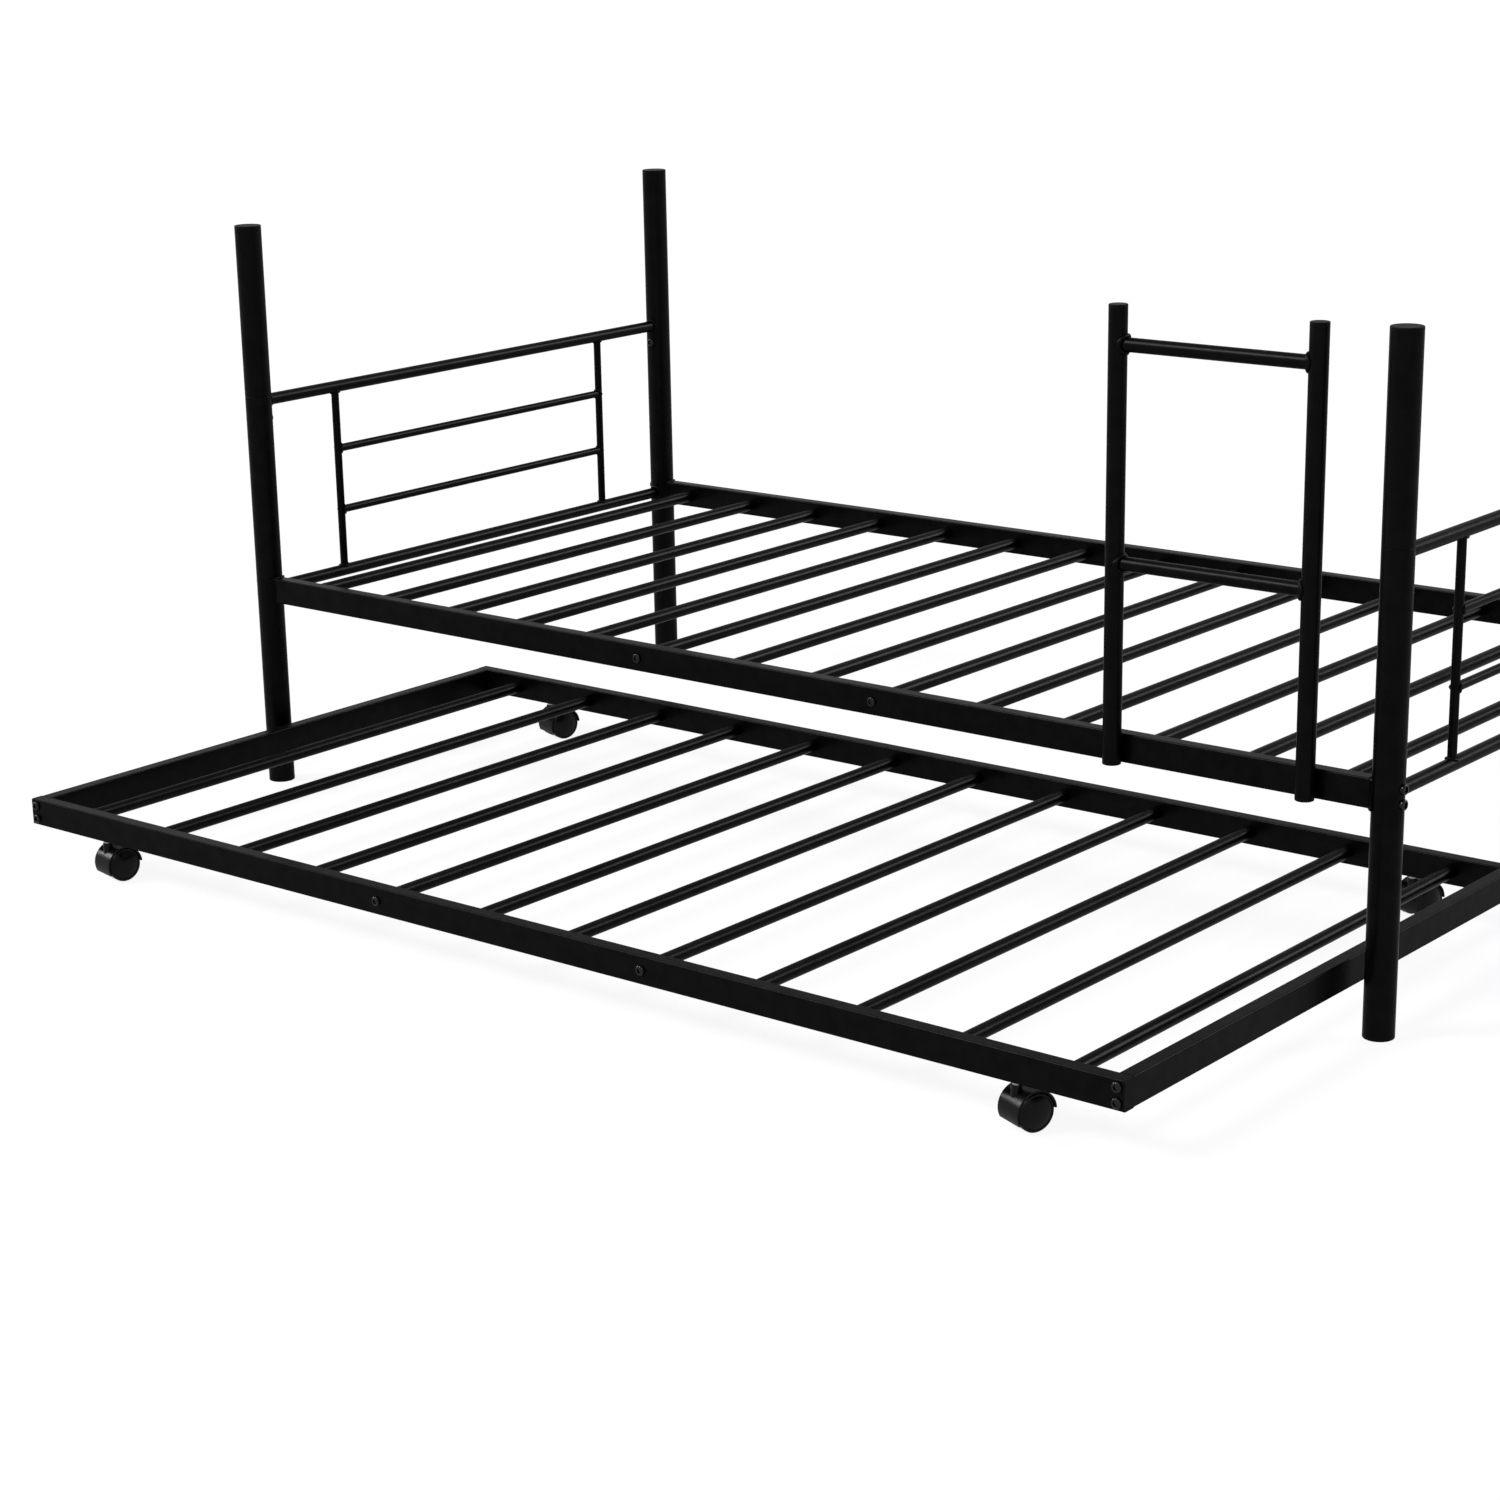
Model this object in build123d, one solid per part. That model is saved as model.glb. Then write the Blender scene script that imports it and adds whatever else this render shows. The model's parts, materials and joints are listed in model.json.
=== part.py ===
from build123d import *
import math
import os

# Steel bed with a wheeled trundle frame that rolls out from under it.
# Millimetres. X runs along the bed with the head at -X, Y runs to the back, Z is up.
# The origin is on the floor, in the middle of the whole footprint with the trundle rolled part way out.

# Posts, in two sections joined end to end
post_pitch_x = 1940.0
post_pitch_y = 936.0
post_d = 40.0
post_wall = 1.5
lower_post_top = 609.0
frame_top = 866.0
joint_sleeve_length = 120.0
joint_sleeve_wall = 1.5
joint_screw_drop = 37.0
joint_edge = 0.8

# Plastic plugs in the open ends of round tubes
plug_cap = 4.0
plug_depth = 20.0
plug_edge = 1.2

# Rectangular rail tube, the same on the bed and on the trundle
rail_w = 20.0
rail_h = 38.0
rail_wall = 1.5
rail_corner = 2.0
rail_mid_z = 308.0

# Saddle plates that cradle the posts at the ends of the bed's side rails, and the nuts behind them
saddle_t = 3.0
saddle_wrap = 110.0
nut_block_length = 30.0
nut_block_setback = 6.0

# Round tube of the end panels and of the slats
tube_d = 18.0
tube_wall = 1.2
thin_d = 12.0
thin_wall = 1.0
upright_inset = 160.0
panel_bar_count = 2

# Slats; the tie slats are the ones that are bolted to the rails
bed_slat_count = 14
bed_slat_inset = 73.5
trundle_slat_count = 12
trundle_slat_inset = 90.5
tie_plug_length = 20.0

# Ladder in front of the front side rail; its bolts come between the slats, so the slats give its place
ladder_d = 24.0
ladder_wall = 1.2
ladder_slat_steps = 2
ladder_slat_gap = 27.0
rung_d = 18.0
rung_count = 2
rung_foot_gap = 258.5
rung_head_gap = 48.5

# Trundle frame, which passes between the posts
trundle_side_gap = 14.0
trundle_width = 955.0
trundle_ground_gap = 60.0
trundle_out = 507.0
end_cap_t = 2.0
end_cap_depth = 5.0

# Twin-wheel casters, each standing turned its own way
caster_inset = 151.0
caster_turn = {"head_front": -12.0, "foot_front": -22.0, "head_back": -16.0, "foot_back": -16.0}
caster_trail = 15.0
wheel_d = 48.0
wheel_w = 13.2
wheel_dome = 4.0
wheel_edge = 1.5
wheel_rim = 2.0
wheel_rim_step = 0.6
wheel_bore_depth = 10.5
web_t = 13.0
axle_d = 6.0
hood_wall = 2.4
hood_rear_angle = 4.0
hood_front_angle = 207.0
hood_ground_gap = 9.0
boss_d = 13.0
boss_top_gap = 4.0
stem_d = 8.0
stem_collar_d = 10.5
stem_reach = 30.0
stem_root = 14.0
socket_wall = 2.0

# Bolts and screws
frame_bolt_d = 8.0
frame_bolt_head_d = 14.0
frame_bolt_head_h = 4.0
frame_bolt_spacing = 19.0
small_bolt_d = 6.0
small_bolt_head_d = 13.0
small_bolt_head_h = 3.5
small_bolt_grip = 14.0
head_rounding = 0.6
hex_key_share = 0.6

# Clearances
weld_gap = 0.1
slip_gap = 0.1
running_gap = 0.05
bolt_hole_gap = 0.2
wheel_side_gap = 0.5
hood_gap = 0.8
collar_gap = 0.3

# Places worked out from the sizes above
post_r = post_d / 2
half_x = post_pitch_x / 2
half_y = post_pitch_y / 2
trundle_length = post_pitch_x - post_d - 2 * trundle_side_gap
trundle_pitch_y = trundle_width - rail_w
wheel_r = wheel_d / 2
wheel_start = web_t / 2 + wheel_side_gap
hood_inner = wheel_r + hood_gap
hood_outer = hood_inner + hood_wall
hood_half_width = wheel_start + wheel_w
front_turns = [math.radians(caster_turn[name]) for name in ("head_front", "foot_front")]
caster_reach = max(
    (hood_outer - caster_trail) * math.cos(turn) + hood_half_width * abs(math.sin(turn))
    for turn in front_turns
)
front_reach = trundle_out + trundle_pitch_y / 2 + caster_reach
back_reach = half_y + post_r
bed_y = (front_reach - back_reach) / 2
trundle_y = bed_y - trundle_out
trundle_mid_z = trundle_ground_gap + rail_h / 2
panel_top_z = lower_post_top - tube_d / 2
bolt_steps = (-frame_bolt_spacing / 2, frame_bolt_spacing / 2)
ends = {"head": -1, "foot": 1}
sides = {"front": -1, "back": 1}
on_base = (Align.CENTER, Align.CENTER, Align.MIN)


def turned(direction):
    """Rotation that takes +Z to one of the four level directions."""
    return {
        "+x": Rot(0, 90, 0),
        "-x": Rot(0, -90, 0),
        "+y": Rot(-90, 0, 0),
        "-y": Rot(90, 0, 0),
    }[direction]


def toward(axis, sign):
    return ("+" if sign > 0 else "-") + axis


def rod(diameter, low, high):
    """Solid round bar along Z between two heights."""
    return Pos(0, 0, low) * Cylinder(diameter / 2, high - low, align=on_base)


def round_tube(diameter, wall, low, high):
    """Round tube along Z between two heights."""
    ring = Circle(diameter / 2) - Circle(diameter / 2 - wall)
    return Pos(0, 0, low) * extrude(ring, high - low)


def rim_edge(tube, level):
    """Outer edge of an upright tube's end: level 0 is the lower end and -1 the upper."""
    return tube.edges().group_by(Axis.Z)[level].sort_by(SortBy.RADIUS)[-1]


def rail_tube(plane, length):
    """Rectangular tube centred on the origin, along the normal of the plane."""
    outer = RectangleRounded(rail_w, rail_h, rail_corner)
    inner = RectangleRounded(rail_w - 2 * rail_wall, rail_h - 2 * rail_wall, rail_corner - rail_wall)
    return extrude(plane * (outer - inner), length / 2, both=True)


def rail_filler(plane, length):
    """Block that fills the inside of a rail tube, from the origin along the normal of the plane."""
    width = rail_w - 2 * rail_wall - 2 * slip_gap
    height = rail_h - 2 * rail_wall - 2 * slip_gap
    corner = rail_corner - rail_wall
    return extrude(plane * RectangleRounded(width, height, corner), length)


def bolt_head(shank_d, head_d, head_h, skirt=0.0):
    """Button head along Z with a hexagon socket, standing on z = -skirt."""
    head = rod(head_d, -skirt, head_h)
    head = fillet(head.edges().group_by(Axis.Z)[-1], head_rounding * head_h)
    key = extrude(RegularPolygon(hex_key_share * shank_d, 6), head_h)
    return head - Pos(0, 0, head_h / 2) * key


def bolt(grip, direction):
    """Small bolt: the head stands on the origin, facing the direction, and the shank runs back."""
    head = bolt_head(small_bolt_d, small_bolt_head_d, small_bolt_head_h)
    return turned(direction) * (head + rod(small_bolt_d, -grip, 0))


def post_bolt(direction, shank_d, head_d, head_h, grip):
    """Bolt at a post's axis, its head seated on the round of the post."""
    skirt = post_r - math.sqrt(post_r**2 - (head_d / 2) ** 2)
    blank = turned(direction) * Pos(0, 0, post_r) * bolt_head(shank_d, head_d, head_h, skirt)
    round_face = Cylinder(post_r + weld_gap, 2 * head_d)
    shank = turned(direction) * rod(shank_d, post_r - grip, post_r + head_h / 3)
    return blank - round_face + shank


def tube_plug(tube_diameter, wall):
    """Plug along Z: the cap stands on z = 0 and the stem hangs below it."""
    cap = rod(tube_diameter, 0, plug_cap)
    cap = fillet(cap.edges().group_by(Axis.Z)[-1], plug_edge)
    return cap + rod(tube_diameter - 2 * wall - 2 * slip_gap, -plug_depth, 0)


def at_post(end, side):
    return Pos(ends[end] * half_x, bed_y + sides[side] * half_y, 0)


def post_rods(extra):
    """All the posts as solid rods, wider by an extra radius, for coping what meets them."""
    return [at_post(end, side) * rod(post_d + 2 * extra, 0, frame_top) for end in ends for side in sides]


def spaced(count, reach):
    """Evenly spaced places from -reach to +reach."""
    return [-reach + 2 * reach * i / (count - 1) for i in range(count)]


def tie_places(places):
    """The two places that stand one beyond the middle pair."""
    middle = len(places) // 2
    return (places[middle - 2], places[middle + 1])


nodes = {}


# Posts, the sleeves inside their joints, and their plugs and fasteners
joint_screw_z = lower_post_top - joint_screw_drop
sleeve_d = post_d - 2 * post_wall - 2 * slip_gap
sleeve_reach = joint_sleeve_length / 2
rail_bolt_grip = post_d + saddle_t + nut_block_setback + nut_block_length
connectors = []
tube_plugs = []
joint_screws = []
rail_bolts = []
for end in ends:
    outward = toward("x", ends[end])
    for side in sides:
        inward = toward("y", -sides[side])
        place = at_post(end, side)
        cross_hole = rod(frame_bolt_d + 2 * bolt_hole_gap, -post_d, post_d)
        rail_holes = [Pos(0, 0, rail_mid_z + step) * turned(outward) * cross_hole for step in bolt_steps]
        screw_hole = rod(small_bolt_d + 2 * bolt_hole_gap, 0, post_d)
        screw_hole = Pos(0, 0, joint_screw_z) * turned(inward) * screw_hole

        lower = round_tube(post_d, post_wall, plug_cap, lower_post_top)
        lower = fillet(rim_edge(lower, -1), joint_edge)
        nodes[f"post_{end}_{side}"] = place * (lower - rail_holes - screw_hole)
        upper = round_tube(post_d, post_wall, lower_post_top, frame_top - plug_cap)
        nodes[f"upper_post_{end}_{side}"] = place * fillet(rim_edge(upper, 0), joint_edge)
        sleeve = round_tube(
            sleeve_d, joint_sleeve_wall, lower_post_top - sleeve_reach, lower_post_top + sleeve_reach
        )
        connectors.append(place * (sleeve - screw_hole))

        plug = tube_plug(post_d, post_wall)
        tube_plugs.append(place * Pos(0, 0, plug_cap) * Rot(180, 0, 0) * plug)
        tube_plugs.append(place * Pos(0, 0, frame_top - plug_cap) * plug)
        screw = post_bolt(inward, small_bolt_d, small_bolt_head_d, small_bolt_head_h, small_bolt_grip)
        joint_screws.append(place * Pos(0, 0, joint_screw_z) * screw)
        rail_bolt = post_bolt(outward, frame_bolt_d, frame_bolt_head_d, frame_bolt_head_h, rail_bolt_grip)
        for step in bolt_steps:
            rail_bolts.append(place * Pos(0, 0, rail_mid_z + step) * rail_bolt)
nodes["post_connectors"] = Compound(connectors)
nodes["joint_screws"] = Compound(joint_screws)
nodes["side_rail_bolts"] = Compound(rail_bolts)


# Head and foot panels: two tubes between the posts, two uprights, and bars between the uprights
upright_y = half_y - upright_inset
panel_tube = turned("+y") * round_tube(tube_d, tube_wall, -half_y, half_y)
panel_bar = turned("+y") * round_tube(thin_d, thin_wall, -upright_y, upright_y)
bar_rise = (panel_top_z - rail_mid_z) / (panel_bar_count + 1)
for end in ends:
    middle = Pos(ends[end] * half_x, bed_y, 0)
    for level, z in (("top", panel_top_z), ("bottom", rail_mid_z)):
        nodes[f"{end}_{level}_tube"] = middle * Pos(0, 0, z) * panel_tube - post_rods(weld_gap)
    tube_rods = [
        Pos(0, 0, z) * turned("+y") * rod(tube_d + 2 * weld_gap, -half_y, half_y)
        for z in (panel_top_z, rail_mid_z)
    ]
    uprights = []
    upright_rods = []
    for sign in sides.values():
        upright = round_tube(thin_d, thin_wall, rail_mid_z, panel_top_z)
        uprights.append(middle * (Pos(0, sign * upright_y, 0) * upright - tube_rods))
        upright_rods.append(Pos(0, sign * upright_y, 0) * rod(thin_d + 2 * weld_gap, 0, frame_top))
    nodes[f"{end}_uprights"] = Compound(uprights)
    bars = []
    for i in range(panel_bar_count):
        bar = Pos(0, 0, rail_mid_z + (i + 1) * bar_rise) * panel_bar
        bars.append(middle * (bar - upright_rods))
    nodes[f"{end}_bars"] = Compound(bars)


# Bed slats, plugged into the side rails; the tie slats have threaded ends
def slats(places, rail_pitch, mid_y, mid_z):
    """Slats along Y that reach the far wall inside each rail."""
    reach = rail_pitch / 2 + rail_w / 2 - rail_wall
    tube = round_tube(tube_d, tube_wall, -reach, reach)
    thread = rod(small_bolt_d + 2 * running_gap, -2 * reach, 2 * reach)
    core = rod(tube_d - tube_wall, -reach, tie_plug_length - reach)
    cores = core + Rot(180, 0, 0) * core
    tie = tube + (cores - thread)
    return [
        Pos(x, mid_y, mid_z) * turned("+y") * (tie if x in tie_places(places) else tube) for x in places
    ]


def slat_holes(places, sign):
    """Holes for the slats in a rail at the origin, whose inner wall is towards sign along Y."""
    hole = turned(toward("y", sign)) * rod(tube_d + 2 * slip_gap, 0, rail_w)
    return [Pos(x, 0, 0) * hole for x in places]


def bolt_holes(places, height_steps=(0.0,)):
    """Holes for small bolts right through a rail at the origin."""
    hole = turned("+y") * rod(small_bolt_d + 2 * bolt_hole_gap, -rail_w, rail_w)
    return [Pos(x, 0, step) * hole for x in places for step in height_steps]


def tie_bolts(places, rail_pitch, mid_y, mid_z):
    """Bolts through the rails' outer faces into the ends of the tie slats."""
    outer = rail_pitch / 2 + rail_w / 2
    return [
        Pos(x, mid_y + sign * outer, mid_z) * bolt(small_bolt_grip, toward("y", sign))
        for x in tie_places(places)
        for sign in sides.values()
    ]


bed_slat_x = spaced(bed_slat_count, half_x - bed_slat_inset)
nodes["bed_slats"] = Compound(slats(bed_slat_x, post_pitch_y, bed_y, rail_mid_z))
nodes["bed_tie_bolts"] = Compound(tie_bolts(bed_slat_x, post_pitch_y, bed_y, rail_mid_z))


# Side rails, with the saddles and nuts at their ends
ladder_x = (bed_slat_x[-1 - ladder_slat_steps] - ladder_slat_gap, bed_slat_x[-1] - ladder_slat_gap)
saddle_r = post_r + saddle_t
for side, sign in sides.items():
    rail = rail_tube(Plane.YZ, post_pitch_x)
    rail = rail - slat_holes(bed_slat_x, -sign) - bolt_holes(tie_places(bed_slat_x))
    if side == "front":
        rail = rail - bolt_holes(ladder_x)
    rail = Pos(0, bed_y + sign * half_y, rail_mid_z) * rail
    nodes[f"side_rail_{side}"] = rail - post_rods(saddle_t + weld_gap)

saddles = []
nut_blocks = []
for end in ends:
    inward = toward("x", -ends[end])
    facing = 0 if ends[end] < 0 else 180
    block_start = saddle_r + nut_block_setback
    for side in sides:
        place = at_post(end, side) * Pos(0, 0, rail_mid_z)
        shank_holes = [
            Pos(0, 0, step) * turned(inward) * rod(frame_bolt_d + 2 * bolt_hole_gap, 0, 2 * post_d)
            for step in bolt_steps
        ]
        thread_holes = [
            Pos(0, 0, step) * turned(inward) * rod(frame_bolt_d + 2 * running_gap, 0, 3 * post_d)
            for step in bolt_steps
        ]
        plate_t = saddle_t - weld_gap
        section = Plane.XZ * Pos(saddle_r - plate_t / 2, 0) * Rectangle(plate_t, rail_h)
        saddle = Rot(0, 0, facing - saddle_wrap / 2) * revolve(section, Axis.Z, saddle_wrap)
        saddles.append(place * (saddle - shank_holes))
        block = rail_filler(Plane.YZ, nut_block_length)
        block = Rot(0, 0, facing) * Pos(block_start, 0, 0) * block
        nut_blocks.append(place * (block - thread_holes))
nodes["rail_saddles"] = Compound(saddles)
nodes["rail_nut_blocks"] = Compound(nut_blocks)


# Ladder: two stringers that stand against the front rail, rungs between them, plugs and bolts
ladder_y = bed_y - half_y - rail_w / 2 - ladder_d / 2
ladder_low = rail_mid_z - rail_h / 2
ladder_bolt_grip = rail_w + ladder_wall + small_bolt_d
ladder_bolts = []
stringer_rods = []
for end, x in zip(ends, ladder_x):
    place = Pos(x, ladder_y, 0)
    stringer = round_tube(ladder_d, ladder_wall, ladder_low + plug_cap, frame_top - plug_cap)
    insert = Pos(0, 0, rail_mid_z) * turned("+y") * rod(small_bolt_d + 2 * running_gap, 0, ladder_d)
    nodes[f"ladder_stringer_{end}"] = place * (stringer - insert)
    plug = tube_plug(ladder_d, ladder_wall)
    plug_low = Pos(0, 0, ladder_low + plug_cap) * Rot(180, 0, 0) * plug
    tube_plugs.append(place * (plug_low - insert))
    tube_plugs.append(place * Pos(0, 0, frame_top - plug_cap) * plug)
    stringer_rods.append(place * rod(ladder_d + 2 * weld_gap, 0, frame_top))
    inner_face = Pos(x, bed_y - half_y + rail_w / 2, rail_mid_z)
    ladder_bolts.append(inner_face * bolt(ladder_bolt_grip, "+y"))
nodes["tube_plugs"] = Compound(tube_plugs)
nodes["ladder_bolts"] = Compound(ladder_bolts)
rung = turned("+x") * round_tube(rung_d, tube_wall, ladder_x[0], ladder_x[1])
rung_low = ladder_low + rung_foot_gap
rung_high = frame_top - rung_head_gap
rungs = []
for step in spaced(rung_count, (rung_high - rung_low) / 2):
    rung_z = (rung_low + rung_high) / 2 + step
    rungs.append(Pos(0, ladder_y, rung_z) * rung - stringer_rods)
nodes["ladder_rungs"] = Compound(rungs)


# Trundle frame: long rails in front and behind, end rails bolted between them
end_rail_x = trundle_length / 2 - rail_w / 2
end_rail_length = trundle_width - 2 * rail_w
caster_x = trundle_length / 2 - caster_inset
trundle_slat_x = spaced(trundle_slat_count, trundle_length / 2 - trundle_slat_inset)
corner_x = (-end_rail_x, end_rail_x)
socket_d = stem_d + 2 * running_gap + 2 * socket_wall
socket_hole = rod(socket_d + 2 * slip_gap, -rail_h, 0)
long_rail = rail_tube(Plane.YZ, trundle_length - 2 * end_cap_t)
long_rail = long_rail - bolt_holes(tie_places(trundle_slat_x)) - bolt_holes(corner_x, bolt_steps)
long_rail = long_rail - [Pos(x, 0, 0) * socket_hole for x in (-caster_x, caster_x)]
trundle_middle = Pos(0, trundle_y, trundle_mid_z)
corner_grip = rail_w + nut_block_length / 2
corner_bolts = []
corner_nuts = []
end_caps = []
sockets = []
for side, sign in sides.items():
    rail_place = trundle_middle * Pos(0, sign * trundle_pitch_y / 2, 0)
    nodes[f"trundle_rail_{side}"] = rail_place * (long_rail - slat_holes(trundle_slat_x, -sign))
    for end, end_sign in ends.items():
        corner = rail_place * Pos(end_sign * end_rail_x, 0, 0)
        outer_face = corner * Pos(0, sign * rail_w / 2, 0)
        for step in bolt_steps:
            corner_bolts.append(outer_face * Pos(0, 0, step) * bolt(corner_grip, toward("y", sign)))
        thread = rod(small_bolt_d + 2 * running_gap, -nut_block_length, nut_block_length)
        threads = [Pos(0, 0, step) * turned("+y") * thread for step in bolt_steps]
        nut = Rot(0, 0, 90 * (1 - sign)) * rail_filler(Plane.XZ, nut_block_length / 2)
        nut = nut - threads
        corner_nuts.append(corner * Pos(0, -sign * rail_w / 2, 0) * nut)
        cap_face = Pos(end_cap_t, 0, 0) * rail_filler(Plane.YZ, -end_cap_depth - end_cap_t)
        cap_plate = extrude(Plane.YZ * RectangleRounded(rail_w, rail_h, rail_corner), end_cap_t)
        cap = Rot(0, 0, 90 * (1 - end_sign)) * (cap_face + cap_plate)
        cap_x = end_sign * (trundle_length / 2 - end_cap_t)
        clear_bolts = [Pos(end_sign * end_rail_x, 0, step) * turned("+y") * thread for step in bolt_steps]
        end_caps.append(rail_place * (Pos(cap_x, 0, 0) * cap - clear_bolts))
        socket = round_tube(socket_d, socket_wall, -rail_h / 2, rail_h / 2 - rail_wall)
        sockets.append(rail_place * Pos(end_sign * caster_x, 0, 0) * socket)
end_rail = rail_tube(Plane.XZ, end_rail_length)
for end, end_sign in ends.items():
    nodes[f"trundle_rail_{end}"] = trundle_middle * Pos(end_sign * end_rail_x, 0, 0) * end_rail
nodes["trundle_slats"] = Compound(slats(trundle_slat_x, trundle_pitch_y, trundle_y, trundle_mid_z))
nodes["trundle_tie_bolts"] = Compound(tie_bolts(trundle_slat_x, trundle_pitch_y, trundle_y, trundle_mid_z))
nodes["trundle_corner_bolts"] = Compound(corner_bolts)
nodes["trundle_corner_nuts"] = Compound(corner_nuts)
nodes["trundle_end_caps"] = Compound(end_caps)
nodes["caster_sockets"] = Compound(sockets)


# Casters, made with the stem's axis at the origin and the axle along X behind it
boss_top = trundle_ground_gap - boss_top_gap
at_axle = Pos(0, caster_trail, wheel_r)


def caster_wheel():
    """Wheel on the +X side of the web: a tread, a domed face inside a rim, and a blind bore for the axle."""
    bore_r = axle_d / 2 + running_gap
    face = wheel_start + wheel_w
    bore_end = wheel_start + wheel_bore_depth
    dome_edge = wheel_r - wheel_edge - wheel_rim
    edge = [
        (bore_end, 0),
        (bore_end, bore_r),
        (wheel_start, bore_r),
        (wheel_start, wheel_r - wheel_edge),
        (wheel_start + wheel_edge, wheel_r),
        (face - wheel_edge, wheel_r),
        (face, wheel_r - wheel_edge),
        (face, dome_edge),
        (face - wheel_rim_step, dome_edge),
    ]
    dome_h = wheel_dome + wheel_rim_step
    dome_r = (dome_edge**2 + dome_h**2) / (2 * dome_h)
    half_angle = math.asin(dome_edge / dome_r) / 2
    dome_mid = (face + wheel_dome - dome_r * (1 - math.cos(half_angle)), dome_r * math.sin(half_angle))
    tip = (face + wheel_dome, 0)
    outline = Polyline(*edge) + ThreePointArc(edge[-1], dome_mid, tip) + Line(tip, edge[0])
    return at_axle * revolve(Plane.XZ * make_face(outline), Axis.X)


def caster_hood():
    """Hood over both wheels, with the web that holds the axle and the boss that holds the stem."""
    sweep = hood_front_angle - hood_rear_angle
    section = Plane.XY * Pos(0, hood_outer - hood_wall / 2) * Rectangle(2 * hood_half_width, hood_wall)
    shell = Rot(hood_rear_angle, 0, 0) * revolve(section, Axis.X, sweep)
    web = turned("+x") * Cylinder(hood_inner, web_t)
    low_cut = Pos(0, 0, hood_ground_gap - wheel_r) * Box(
        2 * wheel_d, 2 * wheel_d, wheel_d, align=(Align.CENTER, Align.CENTER, Align.MAX)
    )
    body = at_axle * (shell + (web - low_cut)) + rod(boss_d, wheel_r, boss_top)
    pockets = [
        at_axle * turned(toward("x", sign)) * rod(2 * hood_inner, web_t / 2, 2 * hood_half_width)
        for sign in (-1, 1)
    ]
    stem_hole = rod(stem_d + 2 * running_gap, boss_top - stem_root, boss_top)
    axle_hole = at_axle * turned("+x") * rod(axle_d + 2 * running_gap, -web_t, web_t)
    return body - pockets - stem_hole - axle_hole


def caster_stem():
    """Zinc stem with the collar that carries the rail."""
    collar = rod(stem_collar_d, boss_top, trundle_ground_gap - collar_gap)
    return collar + rod(stem_d, boss_top - stem_root, trundle_ground_gap + stem_reach)


def caster_axle():
    reach = wheel_start + wheel_bore_depth - wheel_side_gap
    return at_axle * turned("+x") * rod(axle_d, -reach, reach)


outer_wheel = caster_wheel()
inner_wheel = mirror(outer_wheel, Plane.YZ)
caster_pieces = {
    "hood": caster_hood(),
    "stem": caster_stem(),
    "axle": caster_axle(),
    "wheel_a": outer_wheel,
    "wheel_b": inner_wheel,
}
for end, end_sign in ends.items():
    for side, sign in sides.items():
        stem_place = Pos(end_sign * caster_x, trundle_y + sign * trundle_pitch_y / 2, 0)
        place = stem_place * Rot(0, 0, caster_turn[f"{end}_{side}"])
        for piece, solid in caster_pieces.items():
            nodes[f"caster_{end}_{side}_{piece}"] = place * solid


os.makedirs("parts", exist_ok=True)
for name, shape in nodes.items():
    export_step(shape, f"parts/{name}.step")
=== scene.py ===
import json
import math

import bmesh
import bpy
from mathutils import Matrix, Vector, noise


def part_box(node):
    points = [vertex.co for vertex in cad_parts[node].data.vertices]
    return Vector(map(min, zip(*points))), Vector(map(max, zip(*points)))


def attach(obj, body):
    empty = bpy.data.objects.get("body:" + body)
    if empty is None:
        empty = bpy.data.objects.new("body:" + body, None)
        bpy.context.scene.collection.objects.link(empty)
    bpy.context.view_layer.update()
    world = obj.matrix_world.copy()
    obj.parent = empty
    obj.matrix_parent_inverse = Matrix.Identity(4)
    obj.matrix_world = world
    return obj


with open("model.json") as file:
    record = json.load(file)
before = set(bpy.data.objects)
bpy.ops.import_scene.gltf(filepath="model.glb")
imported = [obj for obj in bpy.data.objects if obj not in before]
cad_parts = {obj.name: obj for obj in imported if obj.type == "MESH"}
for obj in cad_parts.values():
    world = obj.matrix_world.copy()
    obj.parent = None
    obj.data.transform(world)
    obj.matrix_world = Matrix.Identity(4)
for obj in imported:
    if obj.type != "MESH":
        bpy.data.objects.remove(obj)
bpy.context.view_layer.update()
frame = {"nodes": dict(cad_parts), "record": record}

ENDS = ("head", "foot")
SIDES = ("front", "back")
INWARD = (1, -1)  # from the head or front end towards the middle, then from the foot or back end
X, Y, Z = 0, 1, 2
WAY_ACROSS = (0, 1, 0)
WAY_UP = (0, 0, 1)

# Radius of the weld beads on each kind of joint, and the thickness of the saddle plates, in metres
POST_BEAD = 0.0028
THIN_BEAD = 0.0021
RUNG_BEAD = 0.0036
SADDLE_BEAD = 0.0017
SADDLE_T = 0.003

# How the beads are laid: facets, how far they stand off the tube, and how uneven they are
BEAD_SIDES = 10
RING_STEPS = 44
RUN_CUTS = 15
BEAD_OFFSET = 0.25
SWELL_DEPTH = 0.38
SWELL_PITCH = 1.6
SWELL_STRIDE = 7.3
POOL_DEPTH = 0.09
POOL_STEPS = 22
RUN_TAPER = 0.9
RUN_SWELLS = 3
LADDER_SEED = 20
SADDLE_SEED = 40

# Grain of the finishes: its depth in metres, where its scatter lies, how far that moves the gloss,
# and the scatter's pitch as a share of the grain's
GRAIN_DEPTH = 0.0004
SCATTER_LOW, SCATTER_HIGH = 0.35, 0.65
GLOSS_SWING = 0.1
COARSE_SHARE = 0.05

# Dust and smears: the dust's colour, its patches per metre, how far up a face must look to hold
# any, and the smears per metre
DUST_COLOUR = (0.30, 0.29, 0.28, 1)
DUST_PATCHES = 22.0
DUST_STEEPEST = 0.55
SMEARS = 9.0

# Stage: the floor's half width in metres, its own shade and glow, and the fill from all round
FLOOR_REACH = 40.0
FLOOR_SHADE = 0.12
FLOOR_GLOW = 0.9
SURROUND_FILL = 0.03

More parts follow.
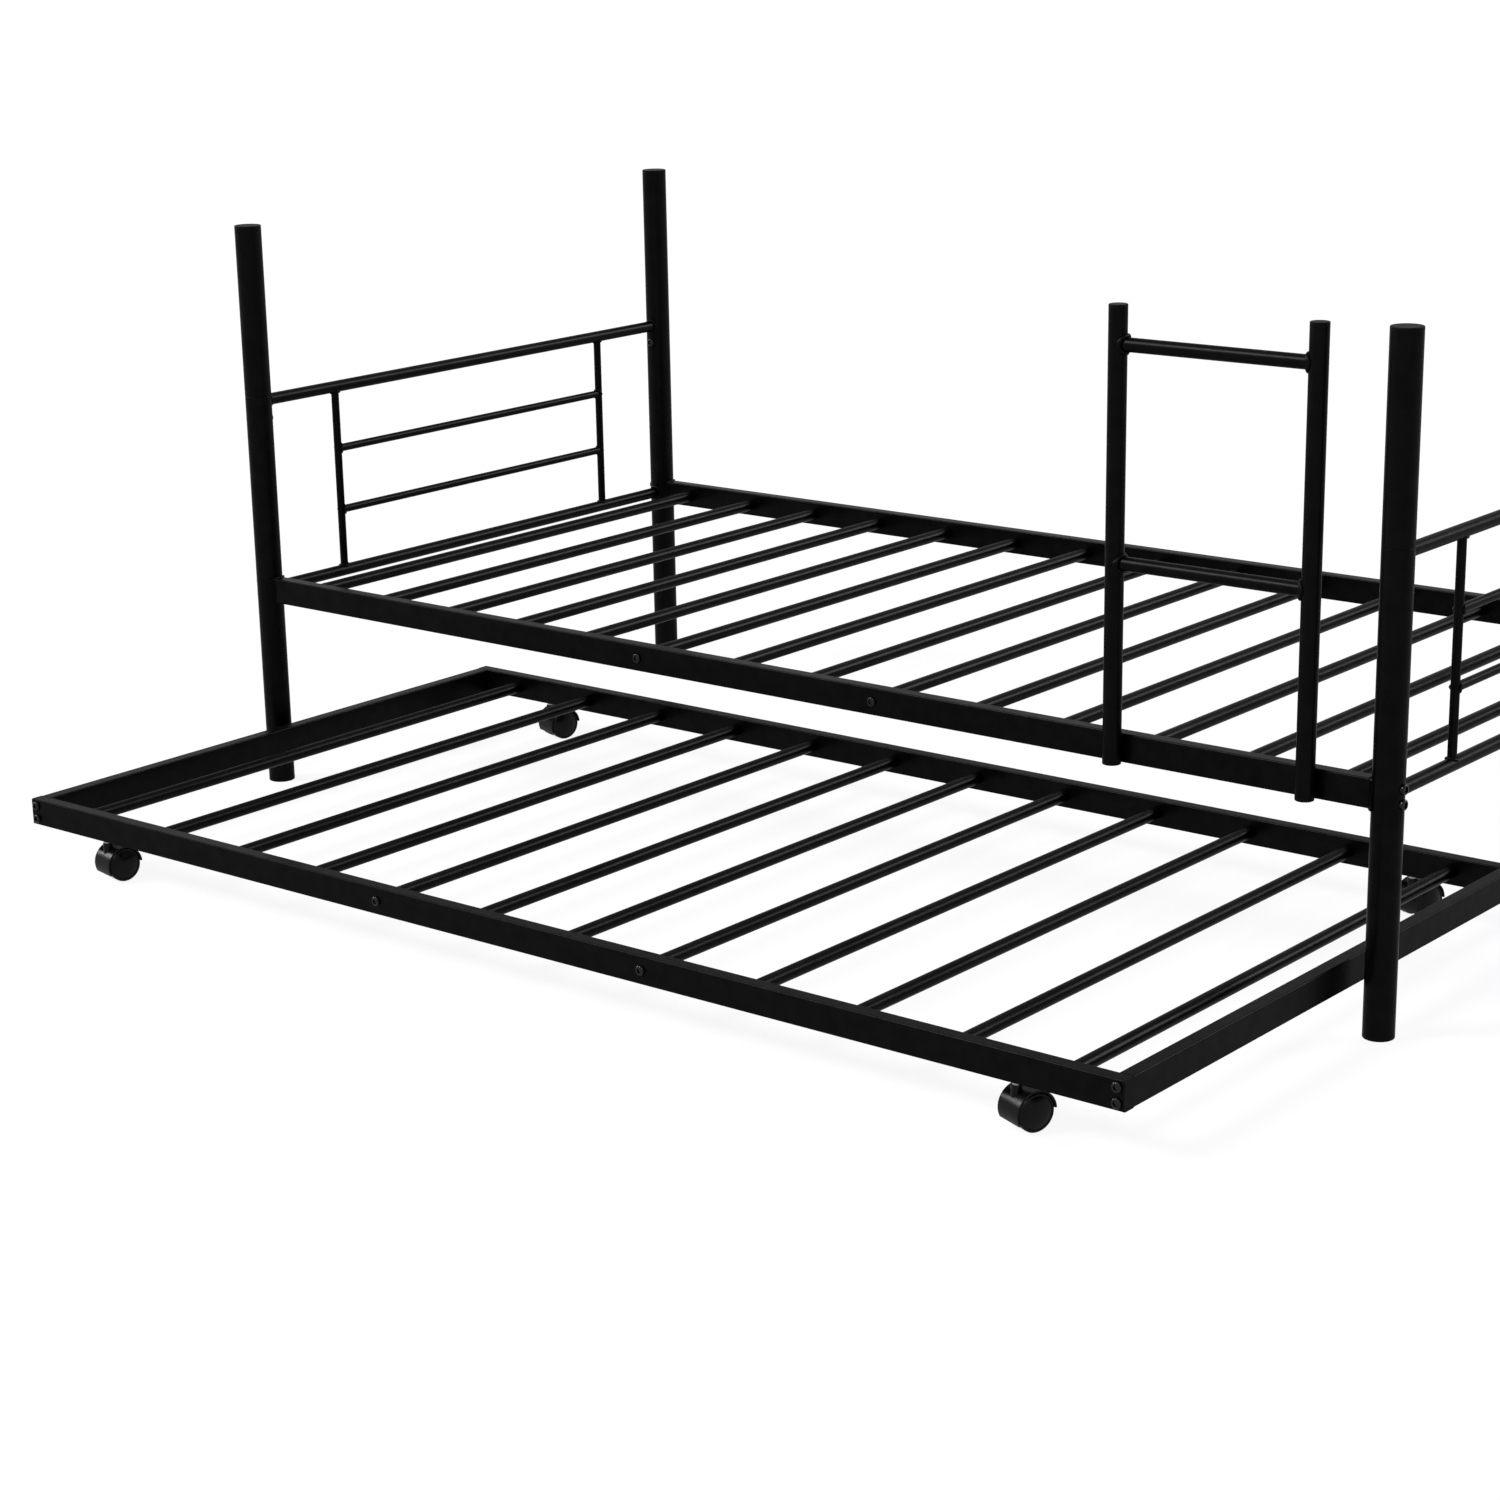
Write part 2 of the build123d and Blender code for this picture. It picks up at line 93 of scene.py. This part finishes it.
# Soft boxes: where each stands from the bed, how wide it looks in degrees, and its strength
SOFT_BOXES = {
    "key": ((-0.51, -0.56, 0.65), 18, 2.5),
    "rim": ((0.50, 0.74, 0.44), 20, 1.6),
    "side": ((-0.94, -0.08, 0.30), 16, 1.6),
    "front": ((0.27, -0.69, 0.67), 12, 0.7),
}

# Camera: lens and film in millimetres, shift in film widths, place in metres, and its own three axes
SENSOR_WIDTH = 36.0
LENS_LENGTH = 78.1446
SHIFT_UP = 0.0533
FARTHEST_SEEN = 200.0
CAMERA_PLACE = (2.741625, -3.568961, 1.420837)
CAMERA_RIGHT = Vector((0.775906, 0.630586, -0.018165))
CAMERA_UP = Vector((-0.171822, 0.238949, 0.955710))
CAMERA_BACK = Vector((0.606998, -0.738420, 0.293751))


# Shader effects that several finishes share

def new_group(name, inputs, outputs):
    """Empty shader node group with named sockets, given as (name, type, default)."""
    group = bpy.data.node_groups.new(name, "ShaderNodeTree")
    for direction, sockets in (("INPUT", inputs), ("OUTPUT", outputs)):
        for socket_name, kind, default in sockets:
            socket = group.interface.new_socket(socket_name, in_out=direction, socket_type=kind)
            if default is not None:
                socket.default_value = default
    return group, group.nodes.new("NodeGroupInput"), group.nodes.new("NodeGroupOutput")


def fill(tree, socket, value):
    """Feeds a socket from another one, or sets a plain value on it."""
    if isinstance(value, bpy.types.NodeSocket):
        tree.links.new(value, socket)
    else:
        socket.default_value = value


def noise_value(tree, vector, scale, detail, roughness=0.5, distortion=0.0):
    """Noise from 0 to 1; the scale is a number or a socket."""
    node = tree.nodes.new("ShaderNodeTexNoise")
    node.inputs["Detail"].default_value = detail
    node.inputs["Roughness"].default_value = roughness
    node.inputs["Distortion"].default_value = distortion
    tree.links.new(vector, node.inputs["Vector"])
    fill(tree, node.inputs["Scale"], scale)
    return node.outputs["Fac"]


def ranged(tree, value, low, high, out_low, out_high):
    """Value mapped from one range to another and held inside it."""
    node = tree.nodes.new("ShaderNodeMapRange")
    limits = {"From Min": low, "From Max": high, "To Min": out_low, "To Max": out_high}
    for socket, number in limits.items():
        node.inputs[socket].default_value = number
    tree.links.new(value, node.inputs["Value"])
    return node.outputs["Result"]


def maths(tree, operation, first, second):
    """Result of one sum on two values, each a number or a socket."""
    node = tree.nodes.new("ShaderNodeMath")
    node.operation = operation
    for socket, value in zip(node.inputs, (first, second)):
        fill(tree, socket, value)
    return node.outputs["Value"]


def mixed_colour(tree, factor, first, second):
    """Colour between two others; a Mix node keeps its colour sockets at 6, 7 and 2."""
    node = tree.nodes.new("ShaderNodeMix")
    node.data_type = "RGBA"
    tree.links.new(factor, node.inputs["Factor"])
    fill(tree, node.inputs[6], first)
    fill(tree, node.inputs[7], second)
    return node.outputs[2]


def make_coat_grain():
    """Fine orange peel of a sprayed or moulded skin: a height and an even scatter of gloss."""
    group, inside, outside = new_group(
        "coat_grain",
        (("Vector", "NodeSocketVector", None), ("Grains per Metre", "NodeSocketFloat", 700.0)),
        (("Height", "NodeSocketFloat", None), ("Scatter", "NodeSocketFloat", None)),
    )
    where = inside.outputs["Vector"]
    grains = inside.outputs["Grains per Metre"]
    fine = noise_value(group, where, grains, 2.0)
    coarse = noise_value(group, where, maths(group, "MULTIPLY", grains, COARSE_SHARE), 3.0)
    group.links.new(fine, outside.inputs["Height"])
    group.links.new(coarse, outside.inputs["Scatter"])
    return group


def make_settled_dust():
    """Thin dust that lies on what faces up, in loose patches."""
    group, inside, outside = new_group(
        "settled_dust",
        (
            ("Vector", "NodeSocketVector", None),
            ("Clean", "NodeSocketColor", (0.01, 0.01, 0.01, 1)),
            ("Amount", "NodeSocketFloat", 0.05),
        ),
        (("Color", "NodeSocketColor", None),),
    )
    geometry = group.nodes.new("ShaderNodeNewGeometry")
    split = group.nodes.new("ShaderNodeSeparateXYZ")
    group.links.new(geometry.outputs["Normal"], split.inputs["Vector"])
    upward = ranged(group, split.outputs["Z"], DUST_STEEPEST, 1.0, 0.0, 1.0)
    loose = noise_value(group, inside.outputs["Vector"], DUST_PATCHES, 5.0, roughness=0.6)
    patches = ranged(group, loose, 0.35, 0.75, 0.25, 1.0)
    lying = maths(group, "MULTIPLY", upward, patches)
    mask = maths(group, "MULTIPLY", lying, inside.outputs["Amount"])
    dusty = mixed_colour(group, mask, inside.outputs["Clean"], DUST_COLOUR)
    group.links.new(dusty, outside.inputs["Color"])
    return group


def make_hand_marks():
    """Slight smears from handling, as a soft change of gloss."""
    group, inside, outside = new_group(
        "hand_marks",
        (
            ("Vector", "NodeSocketVector", None),
            ("Roughness", "NodeSocketFloat", 0.4),
            ("Swing", "NodeSocketFloat", 0.06),
        ),
        (("Roughness", "NodeSocketFloat", None),),
    )
    smear = noise_value(group, inside.outputs["Vector"], SMEARS, 4.0, distortion=0.8)
    centred = ranged(group, smear, 0.3, 0.7, -1.0, 1.0)
    swing = maths(group, "MULTIPLY", centred, inside.outputs["Swing"])
    marked = maths(group, "ADD", inside.outputs["Roughness"], swing)
    group.links.new(marked, outside.inputs["Roughness"])
    return group


coat_grain = make_coat_grain()
settled_dust = make_settled_dust()
hand_marks = make_hand_marks()


# Finishes

def placed(tree, group, **values):
    """One of the shared effects, placed in a material with its own values."""
    node = tree.nodes.new("ShaderNodeGroup")
    node.node_tree = group
    for name, value in values.items():
        fill(tree, node.inputs[name.replace("_", " ")], value)
    return node.outputs


def finish(name, deep, light, roughness, specular, grains, bump, dust, swing, metallic=0.0, coat=0.0):
    """Principled finish: two shades of the colour, grain, dust on top and hand marks in the gloss."""
    material = bpy.data.materials.new(name)
    material.use_nodes = True
    tree = material.node_tree
    shader = tree.nodes["Principled BSDF"]
    shader.inputs["Specular IOR Level"].default_value = specular
    shader.inputs["Metallic"].default_value = metallic
    shader.inputs["Coat Roughness"].default_value = roughness
    where = tree.nodes.new("ShaderNodeTexCoord").outputs["Object"]

    grain = placed(tree, coat_grain, Vector=where, Grains_per_Metre=grains)
    shade = ranged(tree, grain["Scatter"], SCATTER_LOW, SCATTER_HIGH, 0.0, 1.0)
    colour = mixed_colour(tree, shade, (*deep, 1), (*light, 1))
    dusted = placed(tree, settled_dust, Vector=where, Clean=colour, Amount=dust)
    tree.links.new(dusted["Color"], shader.inputs["Base Color"])
    marks = placed(tree, hand_marks, Vector=where, Roughness=roughness, Swing=swing)
    tree.links.new(marks["Roughness"], shader.inputs["Roughness"])
    if coat:
        least, most = (1 - GLOSS_SWING) * coat, (1 + GLOSS_SWING) * coat
        gloss = ranged(tree, grain["Scatter"], SCATTER_LOW, SCATTER_HIGH, least, most)
        tree.links.new(gloss, shader.inputs["Coat Weight"])

    relief = tree.nodes.new("ShaderNodeBump")
    relief.inputs["Strength"].default_value = bump
    relief.inputs["Distance"].default_value = GRAIN_DEPTH
    tree.links.new(grain["Height"], relief.inputs["Height"])
    tree.links.new(relief.outputs["Normal"], shader.inputs["Normal"])
    return material


finishes = {
    "frame_black": finish(
        "satin_powder_coat",
        deep=(0.0007, 0.0007, 0.00075),
        light=(0.0014, 0.0014, 0.0015),
        roughness=0.32,
        specular=0.006,
        grains=900,
        bump=0.2,
        dust=0.004,
        swing=0.04,
        coat=0.09,
    ),
    "bolt_black": finish(
        "black_oxide_bolt",
        deep=(0.001, 0.001, 0.0011),
        light=(0.002, 0.002, 0.0021),
        roughness=0.12,
        specular=0.01,
        grains=1500,
        bump=0.1,
        dust=0.004,
        swing=0.05,
        coat=0.4,
    ),
    "plug_black": finish(
        "matt_plug_plastic",
        deep=(0.0014, 0.0014, 0.0015),
        light=(0.0024, 0.0024, 0.0025),
        roughness=0.48,
        specular=0.01,
        grains=1200,
        bump=0.3,
        dust=0.004,
        swing=0.04,
        coat=0.08,
    ),
    "caster_black": finish(
        "smooth_caster_nylon",
        deep=(0.001, 0.001, 0.0011),
        light=(0.002, 0.002, 0.0021),
        roughness=0.25,
        specular=0.01,
        grains=600,
        bump=0.1,
        dust=0.004,
        swing=0.05,
        coat=0.18,
    ),
    "zinc": finish(
        "bright_zinc",
        deep=(0.22, 0.22, 0.23),
        light=(0.3, 0.3, 0.31),
        roughness=0.32,
        specular=0.5,
        grains=2200,
        bump=0.2,
        dust=0.03,
        swing=0.08,
        metallic=1.0,
    ),
    "inner_steel": finish(
        "plain_inner_steel",
        deep=(0.36, 0.36, 0.37),
        light=(0.46, 0.46, 0.47),
        roughness=0.42,
        specular=0.5,
        grains=1800,
        bump=0.25,
        dust=0.02,
        swing=0.08,
        metallic=1.0,
    ),
}


def wear(piece, slot):
    """Gives a piece or a solid the finish of one of the record's slots."""
    piece.data.materials.clear()
    piece.data.materials.append(finishes[slot])


for row in frame["record"]["subparts"]:
    wear(frame["nodes"][row["node"]], row["material_slot"])


# Weld beads, coated with the frame

def middle_of(node):
    """Middle of a solid's box."""
    low, high = (Vector(corner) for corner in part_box(node))
    return (low + high) / 2


def radius_across(node, axis):
    """Half the reach of a solid along one axis."""
    low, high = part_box(node)
    return (high[axis] - low[axis]) / 2


def joint_place(point, along, host_axis):
    """Frame of a joint: Z along the welded tube, X along the tube that it stands on."""
    tube_way = Vector(along)
    host_way = Vector(host_axis)
    turn = Matrix((host_way, tube_way.cross(host_way), tube_way)).transposed()
    return Matrix.Translation(point) @ turn.to_4x4()


def lumpy(turn, seed):
    """Uneven thickness of a bead laid by hand: slow swells and the steps of the pool."""
    around = (SWELL_PITCH * math.cos(turn), SWELL_PITCH * math.sin(turn), SWELL_STRIDE * seed)
    swell = SWELL_DEPTH * noise.noise(Vector(around))
    return 1.0 + swell + POOL_DEPTH * math.cos(POOL_STEPS * turn + seed)


def add_bead(shape, bead, place):
    """Joins one finished bead to the piece, in its place."""
    bead.transform(place)
    mesh = bpy.data.meshes.new("bead")
    bead.to_mesh(mesh)
    bead.free()
    shape.from_mesh(mesh)
    bpy.data.meshes.remove(mesh)


def weld_ring(shape, place, tube_r, host_r, bead_r, seed):
    """Bead round the end of a tube that is shaped to sit on a round one."""
    bead = bmesh.new()
    ring_r = tube_r + BEAD_OFFSET * bead_r
    section = Matrix.Translation((ring_r, 0, 0)) @ Matrix.Rotation(math.pi / 2, 4, "X")
    bmesh.ops.create_circle(bead, segments=BEAD_SIDES, radius=bead_r, matrix=section)
    bmesh.ops.spin(
        bead,
        geom=bead.verts[:] + bead.edges[:],
        axis=(0, 0, 1),
        angle=2 * math.pi,
        steps=RING_STEPS,
        use_merge=True,
    )
    for vert in bead.verts:
        turn = math.atan2(vert.co.y, vert.co.x)
        core = Vector((ring_r * math.cos(turn), ring_r * math.sin(turn), 0))
        rise = math.sqrt(max(host_r**2 - (tube_r * math.sin(turn)) ** 2, 0.0))
        vert.co = core + (vert.co - core) * lumpy(turn, seed) + Vector((0, 0, rise))
    add_bead(shape, bead, place)


def weld_run(shape, start, end, bead_r, seed):
    """Short straight bead that thins out at both ends."""
    bead = bmesh.new()
    way = Vector(end) - Vector(start)
    half = way.length / 2
    bmesh.ops.create_cone(
        bead, cap_ends=True, segments=BEAD_SIDES, radius1=bead_r, radius2=bead_r, depth=2 * half
    )
    long_edges = [edge for edge in bead.edges if edge.calc_length() > half]
    bmesh.ops.subdivide_edges(bead, edges=long_edges, cuts=RUN_CUTS)
    for vert in bead.verts:
        share = vert.co.z / half
        width = math.sqrt(1.0 - RUN_TAPER * share**4) * lumpy(RUN_SWELLS * share, seed)
        vert.co.x *= width
        vert.co.y *= width
    turn = way.to_track_quat("Z", "Y").to_matrix().to_4x4()
    add_bead(shape, bead, Matrix.Translation((Vector(start) + Vector(end)) / 2) @ turn)


def weld_piece(name, shape):
    """Finished weld piece that is part of the bed's frame."""
    bmesh.ops.recalc_face_normals(shape, faces=shape.faces)
    for face in shape.faces:
        face.smooth = True
    mesh = bpy.data.meshes.new(name)
    shape.to_mesh(mesh)
    shape.free()
    piece = bpy.data.objects.new(name, mesh)
    bpy.context.scene.collection.objects.link(piece)
    wear(piece, "frame_black")
    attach(piece, "bed_frame")


def panel_welds(end):
    """Beads of one end panel: tubes on the posts, uprights on the tubes, bars on the uprights."""
    shape = bmesh.new()
    seed = 0
    levels = {level: middle_of(f"{end}_{level}_tube") for level in ("bottom", "top")}
    tube_r = radius_across(f"{end}_top_tube", Z)
    thin_r = radius_across(f"{end}_uprights", X)
    low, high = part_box(f"{end}_uprights")
    upright_places = (low[Y] + thin_r, high[Y] - thin_r)
    bar_low, bar_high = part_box(f"{end}_bars")
    bar_heights = (bar_low[Z] + thin_r, bar_high[Z] - thin_r)
    for side, upright_y, inward in zip(SIDES, upright_places, INWARD):
        post = middle_of(f"post_{end}_{side}")
        post_r = radius_across(f"post_{end}_{side}", X)
        for centre in levels.values():
            seed += 1
            place = joint_place((post.x, post.y, centre.z), (0, inward, 0), WAY_UP)
            weld_ring(shape, place, tube_r, post_r, POST_BEAD, seed)
        for level, upward in (("bottom", 1), ("top", -1)):
            seed += 1
            place = joint_place((post.x, upright_y, levels[level].z), (0, 0, upward), WAY_ACROSS)
            weld_ring(shape, place, thin_r, tube_r, THIN_BEAD, seed)
        for bar_z in bar_heights:
            seed += 1
            place = joint_place((post.x, upright_y, bar_z), (0, inward, 0), WAY_UP)
            weld_ring(shape, place, thin_r, thin_r, THIN_BEAD, seed)
    weld_piece(f"{end}_panel_welds", shape)


def ladder_welds():
    """Beads where the rungs meet the ladder's two stringers."""
    shape = bmesh.new()
    low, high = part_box("ladder_rungs")
    rung_r = radius_across("ladder_rungs", Y)
    seed = LADDER_SEED
    for end, inward in zip(ENDS, INWARD):
        stringer = middle_of(f"ladder_stringer_{end}")
        stringer_r = radius_across(f"ladder_stringer_{end}", X)
        for rung_z in (low[Z] + rung_r, high[Z] - rung_r):
            seed += 1
            place = joint_place((stringer.x, stringer.y, rung_z), (inward, 0, 0), WAY_UP)
            weld_ring(shape, place, rung_r, stringer_r, RUNG_BEAD, seed)
    weld_piece("ladder_welds", shape)


def saddle_welds():
    """Beads of the saddle plates on the side rails' ends, up both faces and across the top."""
    shape = bmesh.new()
    seed = SADDLE_SEED
    for side in SIDES:
        low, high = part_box(f"side_rail_{side}")
        half_w = (high[Y] - low[Y]) / 2
        for end, inward in zip(ENDS, INWARD):
            post = middle_of(f"post_{end}_{side}")
            saddle_r = radius_across(f"post_{end}_{side}", X) + SADDLE_T
            face_x = post.x + inward * math.sqrt(saddle_r**2 - half_w**2)
            front_foot, front_top = (face_x, low[Y], low[Z]), (face_x, low[Y], high[Z])
            back_foot, back_top = (face_x, high[Y], low[Z]), (face_x, high[Y], high[Z])
            runs = ((front_foot, front_top), (back_foot, back_top), (front_top, back_top))
            for start, stop in runs:
                seed += 1
                weld_run(shape, start, stop, SADDLE_BEAD, seed)
    weld_piece("saddle_welds", shape)


for end in ENDS:
    panel_welds(end)
ladder_welds()
saddle_welds()


# Stage: floor, light and camera

def seen_share(tree):
    """1 for rays from the camera, a reflection or glass, and 0 for the light that falls on things."""
    rays = tree.nodes.new("ShaderNodeLightPath").outputs
    mirrored = maths(tree, "MAXIMUM", rays["Is Camera Ray"], rays["Is Glossy Ray"])
    return maths(tree, "MAXIMUM", mirrored, rays["Is Transmission Ray"])


def white_floor():
    """Pale floor: white to the camera and in reflections, less the shadow of what stands on it."""
    material = bpy.data.materials.new("white_floor")
    material.use_nodes = True
    tree = material.node_tree
    tree.nodes.remove(tree.nodes["Principled BSDF"])
    lit = tree.nodes.new("ShaderNodeBsdfDiffuse")
    lit.inputs["Color"].default_value = (FLOOR_SHADE, FLOOR_SHADE, FLOOR_SHADE, 1)
    glow = tree.nodes.new("ShaderNodeEmission")
    strength = maths(tree, "MULTIPLY", seen_share(tree), FLOOR_GLOW)
    tree.links.new(strength, glow.inputs["Strength"])
    both = tree.nodes.new("ShaderNodeAddShader")
    tree.links.new(lit.outputs["BSDF"], both.inputs[0])
    tree.links.new(glow.outputs["Emission"], both.inputs[1])
    tree.links.new(both.outputs["Shader"], tree.nodes["Material Output"].inputs["Surface"])
    return material


def make_floor():
    """Flat floor that runs out past the picture."""
    shape = bmesh.new()
    bmesh.ops.create_grid(shape, x_segments=4, y_segments=4, size=FLOOR_REACH)
    mesh = bpy.data.meshes.new("floor")
    shape.to_mesh(mesh)
    shape.free()
    mesh.materials.append(white_floor())
    floor = bpy.data.objects.new("floor", mesh)
    bpy.context.scene.collection.objects.link(floor)


def make_world():
    """White surround that adds only a little fill light."""
    world = bpy.data.worlds.new("studio")
    world.use_nodes = True
    bpy.context.scene.world = world
    tree = world.node_tree
    background = tree.nodes["Background"]
    background.inputs["Color"].default_value = (1, 1, 1, 1)
    strength = ranged(tree, seen_share(tree), 0.0, 1.0, SURROUND_FILL, 1.0)
    tree.links.new(strength, background.inputs["Strength"])


def soft_light(name, source, spread, strength):
    """Even light from one far soft box."""
    lamp = bpy.data.lights.new(name, "SUN")
    lamp.angle = math.radians(spread)
    lamp.energy = strength
    holder = bpy.data.objects.new(name, lamp)
    holder.rotation_euler = Vector(source).to_track_quat("Z", "Y").to_euler()
    bpy.context.scene.collection.objects.link(holder)


def make_camera():
    """Camera at the photograph's view."""
    lens = bpy.data.cameras.new("photo_camera")
    lens.sensor_width = SENSOR_WIDTH
    lens.lens = LENS_LENGTH
    lens.shift_y = SHIFT_UP
    lens.clip_end = FARTHEST_SEEN
    camera = bpy.data.objects.new("photo_camera", lens)
    turn = Matrix((CAMERA_RIGHT, CAMERA_UP, CAMERA_BACK)).transposed().to_4x4()
    camera.matrix_world = Matrix.Translation(CAMERA_PLACE) @ turn
    bpy.context.scene.collection.objects.link(camera)
    bpy.context.scene.camera = camera


make_floor()
make_world()
for box_name, (source, spread, strength) in SOFT_BOXES.items():
    soft_light(box_name, source, spread, strength)
make_camera()
bpy.context.scene.view_settings.view_transform = "Standard"
